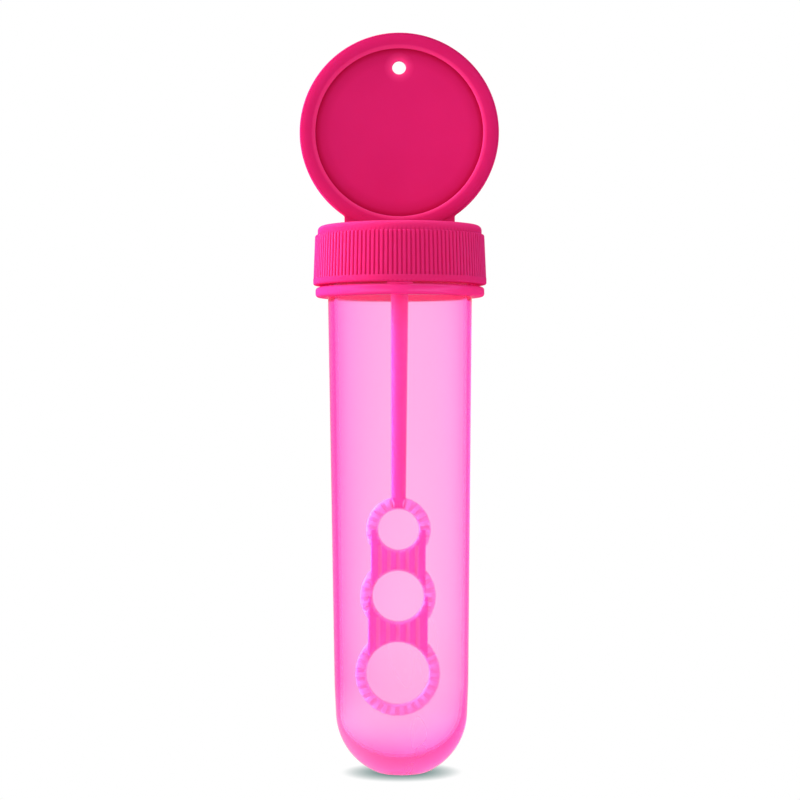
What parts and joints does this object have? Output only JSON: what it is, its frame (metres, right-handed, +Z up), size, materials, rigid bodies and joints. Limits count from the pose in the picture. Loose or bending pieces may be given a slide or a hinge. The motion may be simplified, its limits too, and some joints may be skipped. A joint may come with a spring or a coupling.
{
  "type": "bubble wand tube",
  "caption": "Slim round-bottomed clear bubble tube with a fluted screw cap, a recessed hanging disc on the cap and a ribbed ring wand that draws out with it.",
  "frame": {"origin": "middle of the small base flat that the tube stands on", "axes": "+Z up along the tube's axis, -Y towards the front face of the disc, +X to its right"},
  "size_m": [0.0376, 0.0328, 0.1398],
  "materials": {
    "clear_tube": "clear tinted moulded plastic, smooth",
    "pink_cap": "satin moulded plastic",
    "pink_wand": "satin moulded plastic",
    "seal_foam": "fine closed foam"
  },
  "bodies": {
    "tube": {"tube": "clear_tube"},
    "seal": {"seal_washer": "seal_foam"},
    "cap": {"cap": "pink_cap", "wand": "pink_wand"}
  },
  "joints": [
    {"name": "cap_lift", "type": "slide", "parent": "tube", "child": "seal", "axis": [0, 0, 1], "range_m": [0, 0.095]},
    {"name": "cap_turn", "type": "hinge", "parent": "seal", "child": "cap", "pos_m": [0, 0, 0.0985], "axis": [0, 0, 1], "range_deg": [0, 540]}
  ]
}
